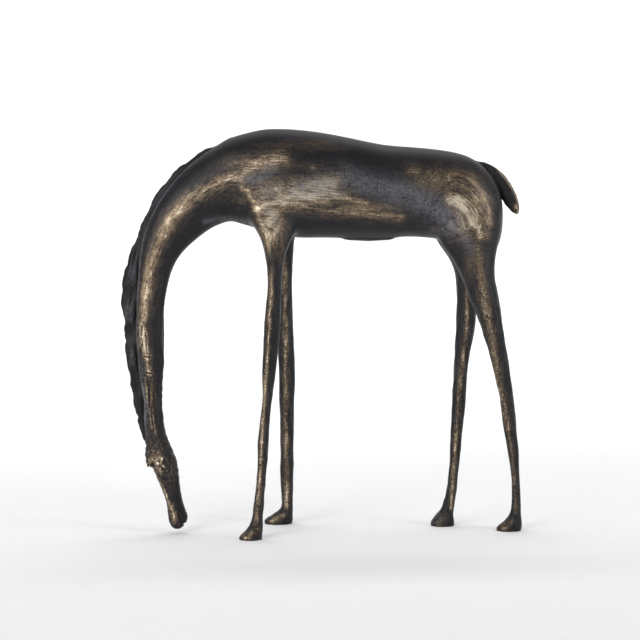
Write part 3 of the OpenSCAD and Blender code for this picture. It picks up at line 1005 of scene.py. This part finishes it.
def ramp_colours(node, stops):
    """Sets the stops of a colour ramp: (place, colour)."""
    ramp = node.color_ramp
    while len(ramp.elements) > 1:
        ramp.elements.remove(ramp.elements[-1])
    ramp.elements[0].position, ramp.elements[0].color = stops[0]
    for place, colour in stops[1:]:
        ramp.elements.new(place).color = colour


def patina_material():
    """Cast bronze under a dark brown-black liver-of-sulphur patina, rubbed back on the high places.

    The dark skin reflects only at a grazing look, the rubbed metal shows warm grey gold with fine
    brush lines along the form and, at its brightest, a painted highlight; a painted grey sheen lies on
    parts of the patina, and the limbs keep the pits and skin of the casting.
    """
    name = "Patinated cast bronze"
    if name in bpy.data.materials:
        return bpy.data.materials[name]
    colours = bpy.context.scene.bronze_patina
    material, tree = new_material(name)

    places = add(tree, "ShaderNodeTexCoord").outputs["Object"]
    flow = add(tree, "ShaderNodeAttribute", attribute_name="brushing").outputs["Vector"]
    rub_and_highlight, painted_sheen, relief, cast = (
        add(tree, "ShaderNodeAttribute", attribute_name=layer).outputs["Fac"]
        for layer in ("rub_and_highlight", "sheen", "relief", "cast")
    )
    drawn_out, slanting, stretched = (
        add(tree, "ShaderNodeMapping", {"Vector": flow, "Rotation": turn, "Scale": (share, 1, 1)}).outputs[0]
        for share, turn in ((0.07, (0, 0, 0)), (0.1, (0, 0.5, 0.5)), (0.3, (0, 0, 0)))
    )

    # Coordinates, spacing in millimetres, detail and roughness of each pattern. Brush lines are 0.8 to
    # 1 mm apart and some 15 times as long, coarser than a cloth leaves, so that they show at a normal look.
    patterns = (
        (places, 24, 4, 0.6), (stretched, 9, 4, 0.6), (drawn_out, 1.0, 5, 0.65),
        (slanting, 0.8, 4, 0.65), (places, 3.2, 6, 0.7), (places, 1.4, 3, 0.7),
    )
    clouds, long_clouds, lines, cross_lines, mottle, speck = (
        add(
            tree, "ShaderNodeTexNoise",
            {"Vector": vector, "Scale": 1 / (spacing * MM), "Detail": detail, "Roughness": rough},
        ).outputs["Fac"]
        for vector, spacing, detail, rough in patterns
    )

    # Wear and painted highlight: the rubbed strokes with the painted highlights laid in them, broken up by
    # all the patterns, and more on ridges.
    uneven = unevenness(tree, 0, [
        (clouds, 1.2), (long_clouds, 1.8), (lines, 2.2), (cross_lines, 1.6), (mottle, 1.1), (speck, 1.6),
    ])
    touched = total(tree, 0.04, [(rub_and_highlight, 1.8)], clamp=True)
    broken = total(tree, 0, [(touched, 0.6)])
    ridges = total(tree, 0.1, [(touched, 0.2)])
    pitted = total(tree, 0, [(cast, touched)])
    grainy = unevenness(tree, 0, [(speck, 1.3)])
    parts = [(rub_and_highlight, 0.96), (uneven, broken), (relief, ridges), (grainy, pitted)]
    wear_and_highlight = total(tree, 0, parts, clamp=True)
    # The ramp colours the rubbed metal and the painted highlights alike; its top stop is the highlight
    # colour.
    worn = add(tree, "ShaderNodeValToRGB", {"Fac": wear_and_highlight})
    ramp_colours(worn, [
        (0.0, colours.hollow), (0.1, colours.skin), (0.34, colours.warm),
        (0.7, colours.rubbed), (1.0, colours.bright),
    ])

    # Painted sheen: a patchy grey reflection painted into the colour, with a trace of it everywhere.
    patchy = unevenness(tree, 0.72, [(mottle, 2.2), (speck, 3.2), (long_clouds, 2.0)])
    trace = total(tree, 0.02, [(painted_sheen, 1)])
    grey = total(tree, 0, [(trace, patchy)], clamp=True)
    base = add(
        tree, "ShaderNodeMix", {"Factor": grey, "A": worn.outputs[0], "B": colours.sheen}, data_type="RGBA"
    ).outputs["Result"]
    bare = total(tree, 0, [(wear_and_highlight, 2)], clamp=True)
    metal = add(tree, "ShaderNodeMath", {0: bare, 1: grey}, operation="MAXIMUM").outputs[0]
    roughness = total(tree, 0.35, [(wear_and_highlight, -0.06), (lines, 0.14), (cast, 0.05)], clamp=True)

    # Height in millimetres: brush lines, casting skin, and pits 1.9 mm apart on the limbs and lower neck.
    cells = add(tree, "ShaderNodeTexVoronoi", {"Vector": places, "Scale": 1 / (1.9 * MM)})
    pit = add(
        tree, "ShaderNodeMath", {0: 0.22, 1: cells.outputs["Distance"]}, operation="SUBTRACT", use_clamp=True
    ).outputs[0]
    pits = total(tree, 0, [(pit, cast)])
    skin_depth = total(tree, 0.05, [(cast, 0.2)])
    height = total(tree, 0, [
        (lines, 0.05), (cross_lines, 0.03), (mottle, skin_depth), (speck, 0.06), (pits, -0.9),
    ])
    bump = add(tree, "ShaderNodeBump", {"Height": height, "Strength": 1.0, "Distance": MM}).outputs[0]

    shader = add(tree, "ShaderNodeBsdfPrincipled", {
        "Base Color": base, "Metallic": metal, "Roughness": roughness, "Normal": bump,
        "Specular IOR Level": 0.29,
    })
    add(tree, "ShaderNodeOutputMaterial", {"Surface": shader.outputs[0]})
    return material


def raw_material():
    """Bronze bar as turned, for the hidden dowels and pins: warm gold with fine lathe marks 0.6 mm apart."""
    name = "Turned bronze bar"
    if name in bpy.data.materials:
        return bpy.data.materials[name]
    material, tree = new_material(name)
    places = add(tree, "ShaderNodeTexCoord").outputs["Object"]
    turned = add(
        tree, "ShaderNodeTexNoise",
        {"Vector": places, "Scale": 1 / (0.6 * MM), "Detail": 3, "Roughness": 0.6},
    ).outputs["Fac"]
    raw = list(bpy.context.scene.bronze_patina.raw)
    shade = [0.7 * c for c in raw[:3]] + [1]
    marked = add(tree, "ShaderNodeValToRGB", {"Fac": turned})
    ramp_colours(marked, [(0.3, shade), (0.7, raw)])
    bump = add(tree, "ShaderNodeBump", {"Height": turned, "Strength": 0.3, "Distance": 0.05 * MM})
    shader = add(tree, "ShaderNodeBsdfPrincipled", {
        "Base Color": marked.outputs[0], "Metallic": 1.0, "Roughness": 0.35, "Normal": bump.outputs[0],
    })
    add(tree, "ShaderNodeOutputMaterial", {"Surface": shader.outputs[0]})
    return material


def paper_material(colour):
    """Background paper, coated matt: an even pale ground with hardly any gloss."""
    material, tree = new_material("Matt background paper")
    shader = add(tree, "ShaderNodeBsdfPrincipled", {
        "Base Color": colour, "Roughness": 0.9, "Specular IOR Level": 0.1,
    })
    add(tree, "ShaderNodeOutputMaterial", {"Surface": shader.outputs[0]})
    return material


# CAD nodes inside the castings, which stay as they are
FITTINGS = (
    "neck_collar", "neck_collar_pins", "head_dowel", "head_dowel_pins",
    "foreleg_pins", "hindleg_pins", "mane_pins", "tail_stud",
)


class BRONZE_OT_fittings(bpy.types.Operator):
    """Gives the hidden collar, dowel, stud and pins their turned bronze"""

    bl_idname = "bronze.fittings"
    bl_label = "Finish the Fittings"

    def execute(self, context):
        for node in FITTINGS:
            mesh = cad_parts[node].data
            mesh.materials.clear()
            mesh.materials.append(raw_material())
        return {"FINISHED"}


# ---------------------------------------------------------------- stage


# Name, place, target, width and height in metres, and power in watts
SOFTBOXES = (
    ("key_softbox", (-1.5, -1.75, 1.0), (0, 0, 0.2), 1.3, 1.7, 26),
    ("fill_softbox", (1.8, -1.0, 0.9), (0, 0, 0.25), 0.6, 1.4, 12),
    ("wall_softbox", (0, 1.4, 2.8), (0, 4.2, 0.6), 4.0, 1.0, 90),
    ("top_softbox", (0, 0.8, 3.0), (0, 0.6, 0), 3.0, 2.0, 22),
)

# The camera turns round this place and looks a little above it, in metres
CAMERA_CENTRE = (-0.002, 0, 0.178)
CAMERA_RISE = 0.0098


def softbox(name, place, target, width, height, power):
    """A soft area light that faces a target."""
    light = bpy.data.lights.new(name, "AREA")
    light.shape = "RECTANGLE"
    light.size = width
    light.size_y = height
    light.energy = power
    holder = bpy.data.objects.new(name, light)
    holder.location = place
    holder.rotation_mode = "QUATERNION"
    holder.rotation_quaternion = (Vector(target) - Vector(place)).to_track_quat("-Z", "Y")
    bpy.context.scene.collection.objects.link(holder)


class BRONZE_OT_stage(bpy.types.Operator):
    """Sets the pale floor sweep, the soft studio light and the camera"""

    bl_idname = "bronze.stage"
    bl_label = "Set the Stage"

    def execute(self, context):
        settings = context.scene.bronze_stage
        self.sweep(settings)
        self.lights(context)
        self.camera(context, settings)
        return {"FINISHED"}

    def sweep(self, settings):
        """A round paper floor whose edge bends up into a wall."""
        flat, bend, wall, bend_steps = 2.6, 1.6, 4.2, 12
        bm = bmesh.new()
        line = [Vector((0.001, 0, 0)), Vector((flat, 0, 0))]
        for i in range(1, bend_steps + 1):
            turn = i / bend_steps * math.pi / 2
            line.append(Vector((flat + bend * math.sin(turn), 0, bend - bend * math.cos(turn))))
        line.append(Vector((flat + bend, 0, wall)))
        verts = [bm.verts.new(place) for place in line]
        edges = [bm.edges.new(pair) for pair in zip(verts[:-1], verts[1:])]
        bmesh.ops.spin(
            bm, geom=verts + edges, cent=(0, 0, 0), axis=(0, 0, 1),
            angle=2 * math.pi, steps=72, use_merge=True,
        )
        bmesh.ops.remove_doubles(bm, verts=bm.verts, dist=0.0005)
        pole = [e for e in bm.edges if e.is_boundary and e.verts[0].co.length < 0.1]
        bmesh.ops.holes_fill(bm, edges=pole, sides=0)
        bmesh.ops.recalc_face_normals(bm, faces=bm.faces)
        for face in bm.faces:
            face.smooth = True
        mesh = bpy.data.meshes.new("floor_sweep")
        bm.to_mesh(mesh)
        bm.free()
        mesh.materials.append(paper_material(settings.floor))
        floor = bpy.data.objects.new("floor_sweep", mesh)
        bpy.context.scene.collection.objects.link(floor)

    def lights(self, context):
        """An even pale world and four softboxes."""
        world = bpy.data.worlds.new("Studio")
        context.scene.world = world
        world.use_nodes = True
        background = world.node_tree.nodes["Background"]
        background.inputs["Color"].default_value = (1, 1, 1, 1)
        background.inputs["Strength"].default_value = 0.25
        for row in SOFTBOXES:
            softbox(*row)

    def camera(self, context, settings):
        """A long lens level with the horse's flank."""
        lens = bpy.data.cameras.new("camera")
        lens.lens = settings.lens
        lens.sensor_width = 36
        azimuth, elevation = settings.azimuth, settings.elevation
        back = Vector((
            math.sin(azimuth) * math.cos(elevation),
            -math.cos(azimuth) * math.cos(elevation),
            math.sin(elevation),
        ))
        centre = Vector(CAMERA_CENTRE)
        aim = centre + Vector((0, 0, CAMERA_RISE))
        holder = bpy.data.objects.new("camera", lens)
        holder.location = centre + back * settings.distance
        holder.rotation_mode = "QUATERNION"
        holder.rotation_quaternion = (aim - holder.location).to_track_quat("-Z", "Y")
        context.scene.collection.objects.link(holder)
        context.scene.camera = holder
        context.scene.view_settings.view_transform = "Standard"


# ---------------------------------------------------------------- sidebar and main


STEPS = ("skin", "sections", "mane", "tail", "closures", "fittings", "stage")


class BRONZE_PT_sidebar(bpy.types.Panel):
    """Lists the steps and their settings"""

    bl_idname = "BRONZE_PT_sidebar"
    bl_label = "Grazing Horse Bronze"
    bl_space_type = "VIEW_3D"
    bl_region_type = "UI"
    bl_category = "Bronze"

    def draw(self, context):
        for step_name in STEPS:
            self.layout.operator("bronze." + step_name)
        for group in SETTINGS:
            box = self.layout.box()
            settings = getattr(context.scene, group)
            for prop in settings.bl_rna.properties:
                if prop.identifier not in ("rna_type", "name"):
                    box.prop(settings, prop.identifier)


CLASSES = (
    ModellingSettings, PatinaSettings, StageSettings,
    BRONZE_OT_skin, BRONZE_OT_sections, BRONZE_OT_mane, BRONZE_OT_tail,
    BRONZE_OT_closures, BRONZE_OT_fittings, BRONZE_OT_stage, BRONZE_PT_sidebar,
)


def register():
    """Registers the classes and hangs the settings on the scene."""
    for cls in CLASSES:
        bpy.utils.register_class(cls)
    for name, group in SETTINGS.items():
        setattr(bpy.types.Scene, name, bpy.props.PointerProperty(type=group))


def unregister():
    """Takes the settings and classes away again."""
    for name in SETTINGS:
        delattr(bpy.types.Scene, name)
    for cls in reversed(CLASSES):
        bpy.utils.unregister_class(cls)


def main():
    """Runs every step."""
    register()
    for step_name in STEPS:
        getattr(bpy.ops.bronze, step_name)()


if __name__ == "__main__":
    main()
